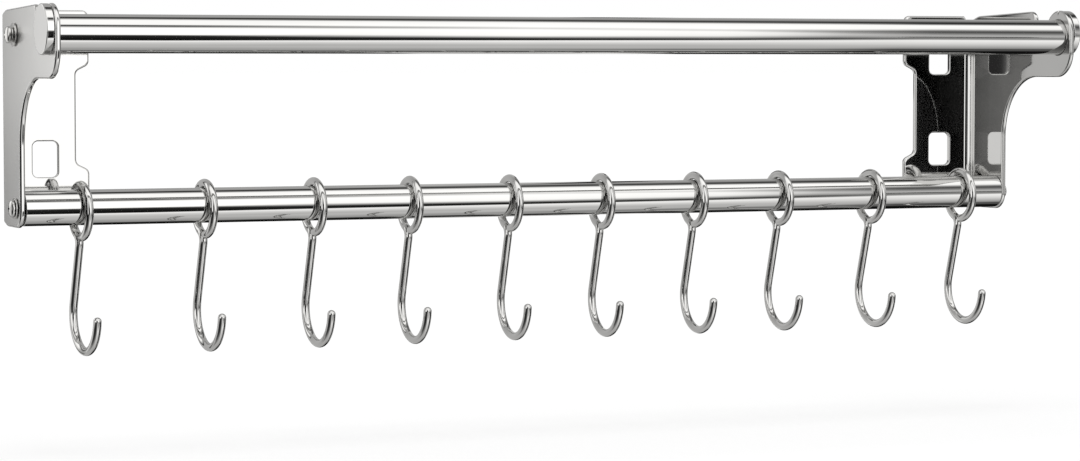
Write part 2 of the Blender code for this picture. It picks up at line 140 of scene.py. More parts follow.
# End caps
CAP_RADIUS = (CAP_HIGH.z - CAP_LOW.z) / 2
CAP_HEIGHT = (CAP_LOW.z + CAP_HIGH.z) / 2
CAP_THICKNESS = 0.0040
CAP_EDGE = 0.0006
SPIGOT_LENGTH = 0.0090

# Screws and plugs
THREAD_DIAMETER = 0.0040
THREAD_PITCH = 0.0007
THREAD_DEPTH = 0.00038
THREAD_ROWS = 8.0
THREAD_SIDES = 32
THREAD_GAP = 0.0002
SCREW_HOLE = THREAD_DIAMETER / 2 + THREAD_GAP
SCREW_SHARP_OVER = 40.0
HEAD_DIAMETER = 0.0092
HEAD_HEIGHT = 0.0025
HEAD_RIM = 0.0008
HEAD_STEP = 6
RECESS_WIDTH = 0.0034
RECESS_SLOT = 0.0009
RECESS_DEPTH = 0.0013
RECESS_TOP_SHARE = 1.15
RECESS_FOOT_SHARE = 0.42
PLUG_LENGTH = 0.0120
THREAD_IN_PLUG = 0.0080

# Washers, as (diameter, thickness), and nuts
LOWER_WASHER = (0.0110, 0.0010)
UPPER_WASHER = (0.0124, 0.0010)
LOCK_WASHER = (0.0082, 0.0010)
LOCK_SLIT = 14.0
LOCK_RISE = 0.00018
LOCK_SHARP_OVER = 50.0
WASHER_EDGE = 0.00022
NUT_ACROSS_FLATS = 0.0070
NUT_THICKNESS = 0.0032
NUT_CHAMFER_SHARE = 0.6
NUT_SHARP_OVER = 30.0
THREAD_PAST_NUT = 0.0012

# Hooks
WIRE_DIAMETER = 0.0045
WIRE_SIDES = 32
WIRE_STEP = 4.0
END_STEPS = 8
EYE_SLACK = 0.00225
EYE_OPEN_FROM = -84.0
EYE_LEAVES_AT = 250.0
NECK_RADIUS = 0.0050
SHANK_LEAN = 14.0
SHANK_LENGTH = 0.0326
BOWL_RADIUS = 0.0190
BOWL_ENDS_AT = 358.0
HOOK_TURNS = (4.0, 3.2, 2.4, 1.2, 0.6, 0.4, 0.6, 1.2, 1.8, 1.2)

# Steel's clouds, polishing lines and relief
CLOUD_SCALE = 34.0
CLOUD_DETAIL = 3.0
CLOUD_BAND = (0.30, 0.70)
LINE_DETAIL = 5.0
LINE_CONTRAST = 0.6
SMOOTHEST_SHARE = 0.75
ROUGHEST_SHARE = 1.30
RELIEF_STRENGTH = 0.25

# Studio
WHITE = (1.0, 1.0, 1.0, 1.0)
WARM_WHITE = (1.0, 0.995, 0.985, 1.0)
FLOOR_HEIGHT = -0.128
FLOOR_HALF = 60.0
FLOOR_ALBEDO = 0.55
FLOOR_COLOUR = (FLOOR_ALBEDO, FLOOR_ALBEDO, FLOOR_ALBEDO, 1.0)
FULL_WHITE = 1.03
ROOM_LIGHT = 0.45
TOP_BOX_PLACE = (0.2, 0.1, 2.2)
TOP_BOX_SIZE = 1.6
TOP_BOX_POWER = 12.0
TENT_RADIUS = 6.0
TENT_HALF_LENGTH = 18.0
TENT_LEFT_END_GLOW = 1.2
TENT_RIGHT_END_GLOW = 0.05


# Node helpers

def set_inputs(tree, made, inputs):
    """Link each named or numbered input of a node from a socket, or set it to a value."""
    for name, value in inputs.items():
        if isinstance(value, bpy.types.NodeSocket):
            tree.links.new(value, made.inputs[name])
        else:
            made.inputs[name].default_value = value


def node(tree, kind, place, inputs=None, **settings):
    """A new node at its place in the tree, with its own settings and its inputs."""
    made = tree.nodes.new(kind)
    made.location = place
    for name, value in settings.items():
        setattr(made, name, value)
    set_inputs(tree, made, inputs or {})
    return made


def math_node(tree, operation, place, *values):
    """The result of a maths node on sockets or numbers."""
    made = node(tree, "ShaderNodeMath", place, dict(enumerate(values)), operation=operation)
    return made.outputs["Value"]


def new_material(name):
    material = bpy.data.materials.new(name)
    material.use_nodes = True
    return material, material.node_tree


# Materials

def cloudy_tint(tree, place, tint, spread):
    """The steel's colour, which drifts a little to both sides of its tint in soft clouds."""
    cloud = node(tree, "ShaderNodeTexNoise", (-900, 200), {
        "Vector": place, "Scale": CLOUD_SCALE, "Detail": CLOUD_DETAIL})
    shade = node(tree, "ShaderNodeValToRGB", (-650, 200), {"Fac": cloud.outputs["Fac"]})
    for stop, position, drift in zip(shade.color_ramp.elements, CLOUD_BAND, (-spread, spread)):
        stop.position = position
        stop.color = (*[value + drift for value in tint], 1.0)
    return shade.outputs["Color"]


def polishing_lines(tree, place, grain):
    """Fine lines whose grain says how often they change along X, Y and Z."""
    stretch = node(tree, "ShaderNodeMapping", (-1100, -150), {"Vector": place, "Scale": grain})
    lines = node(tree, "ShaderNodeTexNoise", (-900, -150), {
        "Vector": stretch.outputs["Vector"], "Scale": 1.0,
        "Detail": LINE_DETAIL, "Roughness": LINE_CONTRAST})
    return lines.outputs["Fac"]


def steel(name, tint, spread, roughness, grain, depth):
    """Steel with faint clouds in its colour and fine polishing lines in its roughness and relief."""
    material, tree = new_material(name)
    place = node(tree, "ShaderNodeTexCoord", (-1300, 0)).outputs["Object"]
    lines = polishing_lines(tree, place, grain)
    polish = node(tree, "ShaderNodeMapRange", (-650, -100), {
        "Value": lines, "To Min": roughness * SMOOTHEST_SHARE, "To Max": roughness * ROUGHEST_SHARE})
    relief = node(tree, "ShaderNodeBump", (-400, -300), {
        "Height": lines, "Strength": RELIEF_STRENGTH, "Distance": depth})
    set_inputs(tree, tree.nodes["Principled BSDF"], {
        "Metallic": 1.0,
        "Base Color": cloudy_tint(tree, place, tint, spread),
        "Roughness": polish.outputs["Result"],
        "Normal": relief.outputs["Normal"],
    })
    return material


def satin_outside(material):
    """Add satin roughness to the cheeks' flat outer faces, which lie farthest from the rack's middle."""
    tree = material.node_tree
    rough = tree.nodes["Principled BSDF"].inputs["Roughness"]
    polished = rough.links[0].from_socket
    place = node(tree, "ShaderNodeTexCoord", (-1300, -600)).outputs["Object"]
    split = node(tree, "ShaderNodeSeparateXYZ", (-1100, -600), {"Vector": place})
    reach = math_node(tree, "ABSOLUTE", (-900, -600), split.outputs["X"])
    satin = node(tree, "ShaderNodeMapRange", (-700, -600), {
        "Value": reach, "From Min": OUTER_HALF - SATIN_FADE, "From Max": OUTER_HALF,
        "To Max": SATIN_ROUGHNESS})
    tree.links.new(math_node(tree, "ADD", (-450, -600), polished, satin.outputs["Result"]), rough)
    return material


def sheet_steel():
    return satin_outside(steel("sheet_steel", tint=(0.630, 0.628, 0.620), spread=0.012, roughness=0.045,
                               grain=(900, 900, 60), depth=0.0000012))


def tube_steel():
    return steel("tube_steel", tint=(0.650, 0.648, 0.640), spread=0.010, roughness=0.040,
                 grain=(1200, 40, 40), depth=0.0000015)


def wire_steel():
    return steel("wire_steel", tint=(0.650, 0.648, 0.640), spread=0.012, roughness=0.040,
                 grain=(500, 300, 300), depth=0.0000012)


def cap_steel():
    return steel("cap_steel", tint=(0.660, 0.658, 0.650), spread=0.010, roughness=0.050,
                 grain=(900, 80, 80), depth=0.000001)


def screw_steel():
    return steel("screw_steel", tint=(0.600, 0.596, 0.585), spread=0.020, roughness=0.080,
                 grain=(1500, 700, 700), depth=0.000002)


def plug_steel():
    return steel("plug_steel", tint=(0.520, 0.515, 0.505), spread=0.025, roughness=0.240,
                 grain=(2500, 500, 500), depth=0.000010)


# Outlines

def arc_points(centre, radius, start, end, step):
    """Points on an arc from the start to the end angle, both ends included."""
    count = max(2, math.ceil(abs(end - start) / step))
    points = []
    for index in range(count + 1):
        angle = math.radians(start + (end - start) * index / count)
        points.append(Vector((centre[0] + radius * math.cos(angle), centre[1] + radius * math.sin(angle))))
    return points


def filleted(corners, step=FINE_STEP):
    """Turn corners of (x, y, radius) into an outline whose corners are arcs."""
    outline = []
    for index, (x, y, radius) in enumerate(corners):
        corner = Vector((x, y))
        before = Vector(corners[index - 1][:2]) - corner
        after = Vector(corners[(index + 1) % len(corners)][:2]) - corner
        half = before.angle(after) / 2
        middle = (before.normalized() + after.normalized()).normalized()
        centre = corner + middle * (radius / math.sin(half))
        first = corner + before.normalized() * (radius / math.tan(half))
        last = corner + after.normalized() * (radius / math.tan(half))
        start = math.degrees(math.atan2(first.y - centre.y, first.x - centre.x))
        sweep = math.degrees(math.atan2(last.y - centre.y, last.x - centre.x)) - start
        sweep = (sweep + 180.0) % 360.0 - 180.0
        outline += arc_points(centre, radius, start, start + sweep, step)
    return outline


def circle_points(centre, radius, sides):
    return arc_points(centre, radius, 0.0, 360.0, 360.0 / sides)[:-1]


def signed_area(outline):
    return sum(a.x * b.y - b.x * a.y for a, b in zip(outline, outline[1:] + outline[:1])) / 2


def drawn_in(outline, distance):
    """The outline moved towards its own inside by a distance, or outwards if that is negative."""
    turn = 1.0 if signed_area(outline) > 0 else -1.0
    moved = []
    for index, point in enumerate(outline):
        before = (point - outline[index - 1]).normalized()
        after = (outline[(index + 1) % len(outline)] - point).normalized()
        inward = Vector((-before.y - after.y, before.x + after.x)) * turn
        inward.normalize()
        lean = inward.dot(Vector((-after.y, after.x)) * turn)
        moved.append(point + inward * (distance / max(lean, LEAST_LEAN)))
    return moved


# Mesh helpers

def mesh_from(name, bm, merge=True):
    """The mesh that was drawn, closed where its points meet, with its faces outwards and shaded smooth."""
    if merge:
        bmesh.ops.remove_doubles(bm, verts=bm.verts, dist=MERGE_DISTANCE)
    bmesh.ops.recalc_face_normals(bm, faces=bm.faces)
    mesh = bpy.data.meshes.new(name)
    bm.to_mesh(mesh)
    bm.free()
    mesh.shade_smooth()
    return mesh


def loose_object(name, mesh, material=None):
    item = bpy.data.objects.new(name, mesh)
    bpy.context.scene.collection.objects.link(item)
    if material:
        mesh.materials.clear()
        mesh.materials.append(material)
    return item


def baked(item, name):
    """The item's evaluated shape as a plain mesh, after which the item is gone."""
    item.data.update()
    graph = bpy.context.evaluated_depsgraph_get()
    mesh = bpy.data.meshes.new_from_object(item.evaluated_get(graph))
    mesh.name = name
    bpy.data.objects.remove(item, do_unlink=True)
    return mesh


def combined(item, tool, operation, name, crossing=False):
    """The item joined to, cut by or kept within the tool, as a plain mesh, after which both are gone."""
    modifier = item.modifiers.new("combine", "BOOLEAN")
    modifier.operation = operation
    modifier.object = tool
    modifier.use_self = crossing
    mesh = baked(item, name)
    bpy.data.objects.remove(tool, do_unlink=True)
    return mesh


def even_normals(item):
    """Large flat faces keep a flat shade, and the narrow rounded edges carry the turn."""
    weigh = item.modifiers.new("even_normals", "WEIGHTED_NORMAL")
    weigh.mode = "FACE_AREA"
    weigh.weight = FLAT_FACE_WEIGHT
    weigh.keep_sharp = False


def keep_corners(item, sharp_over):
    """Edges that turn by more than an angle stay sharp."""
    item.data.set_sharp_from_angle(angle=math.radians(sharp_over))
    item.modifiers["even_normals"].keep_sharp = True
    return item


def piece(name, mesh, material, body, slot, *nodes):
    """A finished piece that rides on its body and stands for its CAD nodes."""
    item = loose_object(name, mesh, material)
    even_normals(item)
    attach(item, body)
    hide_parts(*nodes)
    return item


def bridge(bm, lower, upper):
    count = len(lower)
    for index in range(count):
        following = (index + 1) % count
        bm.faces.new((lower[index], lower[following], upper[following], upper[index]))


def lathe(profile, sides, sweep=360.0, rise=0.0):
    """Spin a profile of (along, radius) points about X. A profile that starts off the axis is closed."""
    bm = bmesh.new()
    rim = [bm.verts.new((along, 0.0, radius)) for along, radius in profile]
    edges = [bm.edges.new(pair) for pair in zip(rim, rim[1:])]
    if profile[0][1] > 0.0:
        edges.append(bm.edges.new((rim[-1], rim[0])))
    whole = sweep == 360.0
    steps = round(sides * sweep / 360.0)
    spun = bmesh.ops.spin(bm, geom=rim + edges, cent=(0, 0, 0), axis=(1, 0, 0), angle=math.radians(sweep),
                          steps=steps, use_merge=whole, dvec=(rise / steps, 0, 0))
    if not whole:
        last = [item for item in spun["geom_last"] if isinstance(item, bmesh.types.BMEdge)]
        bmesh.ops.contextual_create(bm, geom=edges)
        bmesh.ops.contextual_create(bm, geom=last)
    return bm


def at_side(bm, side, x, y, z):
    """Stand a shape that was drawn outwards along X at its place on the left or the right end."""
    for vert in bm.verts:
        vert.co = (side * (x + vert.co.x), y + vert.co.y, z + vert.co.z)
    return bm


# Brackets

def cheek_corners():
    """The cheek's corners as (reach, height, radius), from the foot forwards and up to the top edge."""
    lobe_back = TOWEL_REACH - LOBE_RADIUS
    notch_bottom = LOBE_TOP - LOBE_RADIUS - NOTCH_FILLET
    notch_back = lobe_back - NOTCH_WIDTH
    return [
        (LEG_FRONT, PLATE_BOTTOM, FOOT_CORNER),
        (LEG_FRONT, NOSE_BOTTOM, THROAT_CORNER),
        (NOSE_FRONT, NOSE_BOTTOM, NOSE_CORNER),
        (NOSE_FRONT, LOBE_TOP, LOBE_RADIUS),
        (lobe_back, LOBE_TOP, LOBE_RADIUS),
        (lobe_back, notch_bottom, NOTCH_FILLET),
        (notch_back, notch_bottom, NOTCH_FILLET),
        (notch_back, PLATE_TOP + CHEEK_RISE_TO_FRONT, CHEEK_CORNER),
    ]


def plate_corners():
    """The wall plate's corners as (distance from cheek, height, radius), from the top down to the foot."""
    waist = PLATE_WIDTH - WAIST_DEPTH
    upper = PLATE_TOP - SHOULDER_FROM_END
    lower = PLATE_BOTTOM + SHOULDER_FROM_END
    fall = SHOULDER_FALL / 2
    return [
        (PLATE_WIDTH, PLATE_TOP, PLATE_CORNER),
        (PLATE_WIDTH, upper + fall, SHOULDER_CORNER),
        (waist, upper - fall, SHOULDER_CORNER),
        (waist, lower + fall, SHOULDER_CORNER),
        (PLATE_WIDTH, lower - fall, SHOULDER_CORNER),
        (PLATE_WIDTH, PLATE_BOTTOM, PLATE_CORNER),
    ]


def along_cheek(reach):
    return reach - BEND_OUTER_RADIUS


def along_plate(across):
    return -BEND_LENGTH - (across - BEND_OUTER_RADIUS)


def fold_corners(height, drop):
    """The shallow step at one end of the fold, which keeps the sheet from tearing there."""
    fold = -BEND_LENGTH / 2
    return [
        (fold + FOLD_DROP_FROM_CHEEK, height, CHEEK_DROP_RADIUS),
        (fold + FOLD_DROP_HALF, height - drop, PLATE_DROP_RADIUS),
        (fold - FOLD_DROP_HALF, height - drop, PLATE_DROP_RADIUS),
        (fold - FOLD_DROP_FROM_PLATE, height, PLATE_DROP_RADIUS),
    ]


def blank_outline():
    """The flat blank before folding: cheek on the positive side, wall plate on the negative side."""
    cheek = [(along_cheek(reach), height, radius) for reach, height, radius in cheek_corners()]
    plate = [(along_plate(across), height, radius) for across, height, radius in plate_corners()]
    top = fold_corners(PLATE_TOP, FOLD_DROP)
    foot = fold_corners(PLATE_BOTTOM, -FOLD_DROP)
    return filleted(cheek + top + plate + foot[::-1])


def window_outline(bottom):
    """A window of the wall plate, in the blank's own directions."""
    near = along_plate(WINDOW_FROM_FOLD)
    far = along_plate(WINDOW_FROM_FOLD + WINDOW_WIDTH)
    top = bottom + WINDOW_HEIGHT
    return filleted([(along, height, WINDOW_CORNER) for along, height in
                     ((near, bottom), (near, top), (far, top), (far, bottom))])


def blank_openings():
    return [
        window_outline(PLATE_BOTTOM + LOWER_WINDOW_FROM_END),
        window_outline(PLATE_TOP - UPPER_WINDOW_FROM_END - WINDOW_HEIGHT),
        circle_points((along_cheek(TOWEL_REACH), TOWEL_RISE), TOWEL_RADIUS + BORE_GAP, RAIL_SIDES // 2),
        circle_points((along_cheek(HOOK_RAIL_REACH), 0.0), SCREW_HOLE, SMALL_SIDES),
        circle_points((along_cheek(HOOK_RAIL_REACH), TOWEL_RISE), SCREW_HOLE, SMALL_SIDES),
    ]


def edge_profile(radius):
    """Steps round a rounded sheet edge, as (how far in from the outline, how deep in the sheet)."""
    steps = []
    for index in range(SHEET_EDGE_STEPS + 1):
        angle = math.pi / 2 * index / SHEET_EDGE_STEPS
        steps.append((radius * (1 - math.sin(angle)), radius * (1 - math.cos(angle))))
    return steps + [(inward, SHEET - depth) for inward, depth in reversed(steps)]


def rounded_rim(bm, outline, inwards, radius):
    """The rounded edge of the sheet along one outline. Returns the rims of its two faces, as edges."""
    rings = []
    for inward, depth in edge_profile(radius):
        moved = drawn_in(outline, inwards * inward)
        rings.append([bm.verts.new((point.x, depth, point.y)) for point in moved])
    for lower, upper in zip(rings, rings[1:]):
        bridge(bm, lower, upper)
    return [[bm.edges.get((ring[index - 1], vert)) for index, vert in enumerate(ring)]
            for ring in (rings[0], rings[-1])]


def cut_for_bend(bm):
    """Cut the blank across wherever the fold needs a facet's edge."""
    for cut in range(BEND_CUTS + 1):
        place = (-BEND_LENGTH * cut / BEND_CUTS, 0.0, 0.0)
        everything = list(bm.verts) + list(bm.edges) + list(bm.faces)
        bmesh.ops.bisect_plane(bm, geom=everything, dist=MERGE_DISTANCE, plane_co=place, plane_no=(1, 0, 0))


def rounded_blank():
    """The blank as a closed sheet whose outer edge and openings are rounded."""
    bm = bmesh.new()
    outer_face, inner_face = rounded_rim(bm, blank_outline(), 1.0, SHEET_EDGE)
    for opening in blank_openings():
        outer_rim, inner_rim = rounded_rim(bm, opening, -1.0, OPENING_EDGE)
        outer_face += outer_rim
        inner_face += inner_rim
    for edges in (outer_face, inner_face):
        bmesh.ops.triangle_fill(bm, use_beauty=True, use_dissolve=False, edges=edges, normal=(0, -1, 0))
    cut_for_bend(bm)
    return bm


def folded(point):
    """Where a point of the flat blank lies once the sheet is folded: (distance from outer face, reach)."""
    along, depth = point.x, point.y
    if along >= 0.0:
        return depth, along + BEND_OUTER_RADIUS
    if along <= -BEND_LENGTH:
        return BEND_OUTER_RADIUS - along - BEND_LENGTH, depth
    radius = BEND_OUTER_RADIUS - depth
    angle = -along / BEND_LENGTH * math.pi / 2
    return BEND_OUTER_RADIUS - radius * math.cos(angle), BEND_OUTER_RADIUS - radius * math.sin(angle)


def bracket(side_name, side, material):
    bm = rounded_blank()
    for vert in bm.verts:
        across, reach = folded(vert.co)
        vert.co = (side * (OUTER_HALF - across), -reach, vert.co.z)
    name = side_name + "_bracket"
    return piece(name + "_sheet", mesh_from(name, bm), material, "rack", "satin_sheet_steel", name)


# Rails, plugs and caps

def ring_profile(start, end, inner, outer, edge):
    """Closed half section of a ring along X, with rounded corners."""
    corners = [(start, inner, edge), (start, outer, edge), (end, outer, edge), (end, inner, edge)]
    return [tuple(point) for point in filleted(corners, SMALL_EDGE_STEP)]


def rail(name, low, high, radius, material):
    bm = lathe(ring_profile(low.x, high.x, radius - RAIL_WALL, radius, RAIL_EDGE), RAIL_SIDES)
    middle = (low + high) / 2
    bmesh.ops.translate(bm, verts=bm.verts, vec=(0.0, middle.y, middle.z))
    return piece(name + "_tube", mesh_from(name, bm), material, "rack", "polished_tube_steel", name)


def rail_plug(side_name, side, material):
    outer = HOOK_RAIL_RADIUS - RAIL_WALL - BORE_GAP
    profile = ring_profile(-PLUG_LENGTH, 0.0, SCREW_HOLE, outer, WASHER_EDGE)
    bm = at_side(lathe(profile, SMALL_SIDES), side, INNER_HALF - SEAT_GAP, -HOOK_RAIL_REACH, 0.0)
    name = side_name + "_rail_plug"
    return piece(name + "_turned", mesh_from(name, bm), material, "rack", "threaded_plug_steel", name)


def cap_disc():
    """The cap's cover, with a broken edge at its seat and a rounder one in front."""
    front = SEAT_GAP + CAP_THICKNESS
    broken = CAP_EDGE / 2
    seat = arc_points((SEAT_GAP + broken, CAP_RADIUS - broken), broken, 180.0, 90.0, SMALL_EDGE_STEP)
    rim = arc_points((front - CAP_EDGE, CAP_RADIUS - CAP_EDGE), CAP_EDGE, 90.0, 0.0, RIM_STEP)
    return lathe([(SEAT_GAP, 0.0)] + [tuple(point) for point in seat + rim] + [(front, 0.0)], RAIL_SIDES)


def cap_spigot():
    """The plug in the towel rail's bore, which starts inside the cover."""
    root = (SEAT_GAP + CAP_THICKNESS) / 2
    end = TOWEL_HIGH.x - OUTER_HALF - SPIGOT_LENGTH
    radius = TOWEL_RADIUS - RAIL_WALL - BORE_GAP
    lead = arc_points((end + CAP_EDGE, radius - CAP_EDGE), CAP_EDGE, 180.0, 90.0, SMALL_EDGE_STEP)
    profile = [(end, 0.0)] + [tuple(point) for point in lead] + [(root, radius), (root, 0.0)]
    return lathe(profile, RAIL_SIDES // 2)


def end_cap(side_name, side, material):
    """Cover over the towel rail's end, with a spigot in the rail's bore below the cover's centre."""
    disc = at_side(cap_disc(), side, OUTER_HALF, -TOWEL_REACH, CAP_HEIGHT)
    spigot = at_side(cap_spigot(), side, OUTER_HALF, -TOWEL_REACH, TOWEL_RISE)
    name = side_name + "_end_cap"
    cover = loose_object(name + "_cover", mesh_from(name, disc))
    tool = loose_object(name + "_spigot", mesh_from(name + "_spigot", spigot))
    mesh = combined(cover, tool, "UNION", name)
    return piece(name + "_turned", mesh, material, "rack", "polished_cap_steel", name)


# Node trees

def tree_with(name, inputs):
    """A geometry node tree with a geometry output and the named inputs, given as (name, kind, default)."""
    tree = bpy.data.node_groups.new(name, "GeometryNodeTree")
    tree.interface.new_socket("Geometry", in_out="OUTPUT", socket_type="NodeSocketGeometry")
    for label, kind, default in inputs:
        socket = tree.interface.new_socket(label, in_out="INPUT", socket_type="NodeSocket" + kind)
        if default is not None:
            socket.default_value = default
    return tree


def finish_tree(tree, geometry, material, x):
    """Shade the shape smooth, make it real and give it its material, with nodes from x rightwards."""
    steps = [("GeometryNodeSetShadeSmooth", {}), ("GeometryNodeRealizeInstances", {}),
             ("GeometryNodeSetMaterial", {"Material": material})]
    for index, (kind, inputs) in enumerate(steps):
        made = node(tree, kind, (x + 200 * index, 0), {"Geometry": geometry, **inputs})
        geometry = made.outputs["Geometry"]
    node(tree, "NodeGroupOutput", (x + 200 * len(steps), 0), {"Geometry": geometry})
    return tree


def run_tree(tree, name, source, values):
    """Run a tree on a source mesh with the named values, and give the result as a plain mesh."""
    item = loose_object(name, source)
    modifier = item.modifiers.new(name, "NODES")
    modifier.node_group = tree
    inputs = [entry for entry in tree.interface.items_tree if entry.in_out == "INPUT"]
    sockets = {entry.name: entry.identifier for entry in inputs}
    for label, value in values.items():
        modifier[sockets[label]] = value
    return baked(item, name)


def bent_wire_tree():
    """Round wire swept along a route, whose width attribute rounds its ends."""
    tree = tree_with("bent_wire", [("Route", "Geometry", None), ("Wire Diameter", "Float", WIRE_DIAMETER),
                                   ("Sides", "Int", WIRE_SIDES), ("Material", "Material", None)])
    given = node(tree, "NodeGroupInput", (-900, 0)).outputs
    curve = node(tree, "GeometryNodeMeshToCurve", (-700, 100), {"Mesh": given["Route"]})
    radius = math_node(tree, "MULTIPLY", (-700, -100), given["Wire Diameter"], 0.5)
    section = node(tree, "GeometryNodeCurvePrimitiveCircle", (-500, -150), {
        "Radius": radius, "Resolution": given["Sides"]})
    width = node(tree, "GeometryNodeInputNamedAttribute", (-500, -300), {"Name": "width"})
    sweep = node(tree, "GeometryNodeCurveToMesh", (-250, 0), {
        "Curve": curve.outputs["Curve"], "Profile Curve": section.outputs["Curve"],
        "Scale": width.outputs["Attribute"], "Fill Caps": True})
    return finish_tree(tree, sweep.outputs["Mesh"], given["Material"], -50)


def thread_share(tree, given, place, radius):
    """The share of the rod's radius that is left at a point, from the ridge of the helix to its root."""
    split = node(tree, "ShaderNodeSeparateXYZ", (-1100, -300), {"Vector": place}).outputs
    angle = math_node(tree, "ARCTAN2", (-900, -350), split["Y"], split["X"])
    turn = math_node(tree, "DIVIDE", (-750, -350), angle, 2 * math.pi)
    climb = math_node(tree, "DIVIDE", (-900, -200), split["Z"], given["Pitch"])
    phase = math_node(tree, "SUBTRACT", (-600, -250), climb, turn)
    ridge = math_node(tree, "PINGPONG", (-450, -250), phase, 0.5)
    low = math_node(tree, "MULTIPLY", (-300, -250), ridge, 2.0)
    cut = math_node(tree, "MULTIPLY", (-150, -250), low, given["Depth"])
    lost = math_node(tree, "DIVIDE", (0, -250), cut, radius)
    return math_node(tree, "SUBTRACT", (150, -250), 1.0, lost)


def thread_tree():
    """A rod along Z whose radius follows the ridge of a helical thread."""
    tree = tree_with("screw_thread", [
        ("Geometry", "Geometry", None), ("Diameter", "Float", THREAD_DIAMETER),
        ("Length", "Float", THREAD_IN_PLUG), ("Pitch", "Float", THREAD_PITCH),
        ("Depth", "Float", THREAD_DEPTH), ("Material", "Material", None)])
    given = node(tree, "NodeGroupInput", (-1300, 0)).outputs
    turns = math_node(tree, "DIVIDE", (-1100, 200), given["Length"], given["Pitch"])
    rows = math_node(tree, "MULTIPLY", (-900, 200), turns, THREAD_ROWS)
    radius = math_node(tree, "MULTIPLY", (-1100, 350), given["Diameter"], 0.5)
    rod = node(tree, "GeometryNodeMeshCylinder", (-650, 250), {
        "Vertices": THREAD_SIDES, "Side Segments": rows, "Radius": radius, "Depth": given["Length"]})
    place = node(tree, "GeometryNodeInputPosition", (-1300, -300)).outputs["Position"]
    share = thread_share(tree, given, place, radius)
    scale = node(tree, "ShaderNodeCombineXYZ", (300, -250), {"X": share, "Y": share, "Z": 1.0})
    shrink = node(tree, "ShaderNodeVectorMath", (450, -250), {0: place, 1: scale.outputs["Vector"]},
                  operation="MULTIPLY")
    carve = node(tree, "GeometryNodeSetPosition", (600, 0), {
        "Geometry": rod.outputs["Mesh"], "Position": shrink.outputs["Vector"]})
    return finish_tree(tree, carve.outputs["Geometry"], given["Material"], 800)


# Fasteners

def cross_recess():
    """The tapered cross that a driver fits, drawn along X from above the head's crown down into it."""
    bm = bmesh.new()
    narrow = RECESS_SLOT / 2
    ends = ((HEAD_HEIGHT + SEAT_GAP, RECESS_TOP_SHARE), (HEAD_HEIGHT - RECESS_DEPTH, RECESS_FOOT_SHARE))
    for turned in (False, True):
        rings = []
        for along, share in ends:
            wide = RECESS_WIDTH / 2 * share
            corners = [(-wide, -narrow), (wide, -narrow), (wide, narrow), (-wide, narrow)]
            ring = [(along, b, a) if turned else (along, a, b) for a, b in corners]
            rings.append([bm.verts.new(corner) for corner in ring])
        bridge(bm, rings[0], rings[1])
        bm.faces.new(rings[0])
        bm.faces.new(rings[1])
    return bm


def head_mesh(name):
    """Round head that seats at x = 0 and stands out along +X, with a cross recess."""
    radius = HEAD_DIAMETER / 2
    dome = HEAD_HEIGHT - HEAD_RIM
    turns = [math.radians(angle) for angle in range(0, 90, HEAD_STEP)]
    crown = [(HEAD_RIM + dome * math.sin(turn), radius * math.cos(turn)) for turn in turns]
    seat = [(0.0, 0.0), (0.0, radius - WASHER_EDGE), (WASHER_EDGE, radius)]
    head = loose_object(name, mesh_from(name, lathe(seat + crown + [(HEAD_HEIGHT, 0.0)], SMALL_SIDES)))
    tool = loose_object(name + "_recess", mesh_from(name + "_recess", cross_recess()))
    return combined(head, tool, "DIFFERENCE", name, crossing=True)


def screw(name, side, head_seat, length, height, tree, material):
    """A round-headed machine screw through the cheek, threaded over its whole shank."""
    bm = bmesh.new()
    bm.from_mesh(head_mesh(name + "_head"))
    at_side(bm, side, head_seat, -HOOK_RAIL_REACH, height)
    head_count = len(bm.verts)
    values = {"Diameter": THREAD_DIAMETER, "Length": length, "Pitch": THREAD_PITCH, "Depth": THREAD_DEPTH,
              "Material": material}
    bm.from_mesh(run_tree(tree, name + "_thread", bpy.data.meshes.new(name + "_thread"), values))
    bm.verts.ensure_lookup_table()
    for vert in bm.verts[head_count:]:
        along = vert.co.z + length / 2 - HEAD_RIM
        vert.co = (side * (head_seat - along), vert.co.x - HOOK_RAIL_REACH, vert.co.y + height)
    mesh = mesh_from(name, bm, merge=False)
    item = piece(name + "_threaded", mesh, material, "rack", "fastener_steel", name)
    return keep_corners(item, SCREW_SHARP_OVER)


def plain_washer(name, side, seat, size, height, material):
    """Flat ring whose inner face lies on the seat."""
    diameter, thickness = size
    profile = ring_profile(0.0, thickness, SCREW_HOLE, diameter / 2, WASHER_EDGE)
    bm = at_side(lathe(profile, 2 * SMALL_SIDES), side, seat, -HOOK_RAIL_REACH, height)
    return piece(name + "_ring", mesh_from(name, bm), material, "rack", "fastener_steel", name)


def lock_washer(name, side, seat, height, material):
    """Split spring ring, whose two ends stand a little apart along the screw."""
    diameter, thickness = LOCK_WASHER
    profile = ring_profile(0.0, thickness - LOCK_RISE, SCREW_HOLE, diameter / 2, WASHER_EDGE)
    ring = lathe(profile, SMALL_SIDES, 360.0 - LOCK_SLIT, LOCK_RISE)
    bm = at_side(ring, side, seat, -HOOK_RAIL_REACH, height)
    item = piece(name + "_ring", mesh_from(name, bm), material, "rack", "fastener_steel", name)
    return keep_corners(item, LOCK_SHARP_OVER)


def hexagon_prism():
    """The nut before its bore and chamfers are turned, drawn from x = 0 along +X."""
    bm = bmesh.new()
    outline = circle_points((0.0, 0.0), NUT_ACROSS_FLATS / 2 / math.cos(math.pi / 6), 6)
    rings = []
    for along in (0.0, NUT_THICKNESS):
        rings.append([bm.verts.new((along, point.x, point.y)) for point in outline])
    bridge(bm, rings[0], rings[1])
    for ring in rings:
        bm.faces.new(ring)
    return bm


